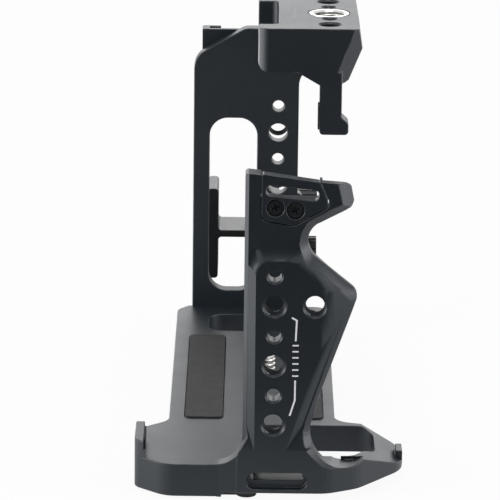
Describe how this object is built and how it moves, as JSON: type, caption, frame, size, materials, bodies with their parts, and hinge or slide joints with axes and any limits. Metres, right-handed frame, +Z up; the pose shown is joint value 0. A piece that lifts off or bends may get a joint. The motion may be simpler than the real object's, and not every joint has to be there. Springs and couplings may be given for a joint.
{
  "type": "camera cage",
  "caption": "Bolted cage for a mirrorless camera: base and grip upright in one, side frame, bridge with accessory block, strap bracket, cold shoe and cable clamp.",
  "frame": {"origin": "centre of the camera's tripod socket, on the metal seat under the camera, on the camera screw's axis", "axes": "+X to the camera's grip side, +Y to the lens, +Z up"},
  "size_m": [0.164, 0.0664, 0.1058],
  "materials": {
    "black_alloy": "matte black anodised, bead blasted",
    "clamp_alloy": "satin dark grey anodised",
    "black_steel": "black oxide",
    "bright_steel": "turned stainless",
    "magnet_nickel": "nickel plated",
    "pad_rubber": "matte",
    "washer_nylon": "natural nylon"
  },
  "bodies": {
    "frame": {"main_frame": "black_alloy", "side_frame": "black_alloy", "bridge": "black_alloy", "strap_bracket": "black_alloy", "strap_bracket_screws": "black_steel", "top_insert": "bright_steel", "tripod_insert": "bright_steel", "side_frame_screws": "black_steel", "side_frame_dowels": "bright_steel", "bridge_screws": "black_steel", "leg_pad": "pad_rubber", "seat_pads": "pad_rubber", "lip_pad": "pad_rubber", "upright_pad": "pad_rubber", "rubber_feet": "pad_rubber", "key_magnets": "magnet_nickel", "cold_shoe": "black_alloy", "cold_shoe_screws": "black_steel", "clamp_body": "clamp_alloy", "clamp_mount_screw": "black_steel"},
    "washer": {"screw_washer": "washer_nylon"},
    "screw": {"camera_screw": "bright_steel"},
    "key": {"hex_key": "black_steel"},
    "upper_jaw": {"upper_jaw": "clamp_alloy"},
    "upper_knob": {"upper_knob": "bright_steel"},
    "lower_jaw": {"lower_jaw": "clamp_alloy"},
    "lower_knob": {"lower_knob": "bright_steel"}
  },
  "joints": [
    {"name": "screw_drop", "type": "slide", "parent": "frame", "child": "washer", "axis": [0, 0, -1], "range_m": [0, 0.0045]},
    {"name": "screw_turn", "type": "hinge", "parent": "washer", "child": "screw", "pos_m": [0, 0, 0], "axis": [0, 0, 1], "continuous": true},
    {"name": "key_out", "type": "slide", "parent": "frame", "child": "key", "axis": [0, 0, -1], "range_m": [0, 0.012]},
    {"name": "upper_jaw_slide", "type": "slide", "parent": "frame", "child": "upper_jaw", "axis": [0, -1, 0], "range_m": [0, 0.0042]},
    {"name": "upper_knob_turn", "type": "hinge", "parent": "upper_jaw", "child": "upper_knob", "pos_m": [-0.0785, 0.0087, 0.0256], "axis": [0, -1, 0], "range_deg": [0, 2160]},
    {"name": "lower_jaw_slide", "type": "slide", "parent": "frame", "child": "lower_jaw", "axis": [0, -1, 0], "range_m": [0, 0.0042]},
    {"name": "lower_knob_turn", "type": "hinge", "parent": "lower_jaw", "child": "lower_knob", "pos_m": [-0.0785, 0.0087, 0.0116], "axis": [0, -1, 0], "range_deg": [0, 2160]}
  ],
  "couplings": [
    {"joint": "upper_knob_turn", "follows": "upper_jaw_slide", "rad_per_m": 8976},
    {"joint": "lower_knob_turn", "follows": "lower_jaw_slide", "rad_per_m": 8976}
  ]
}
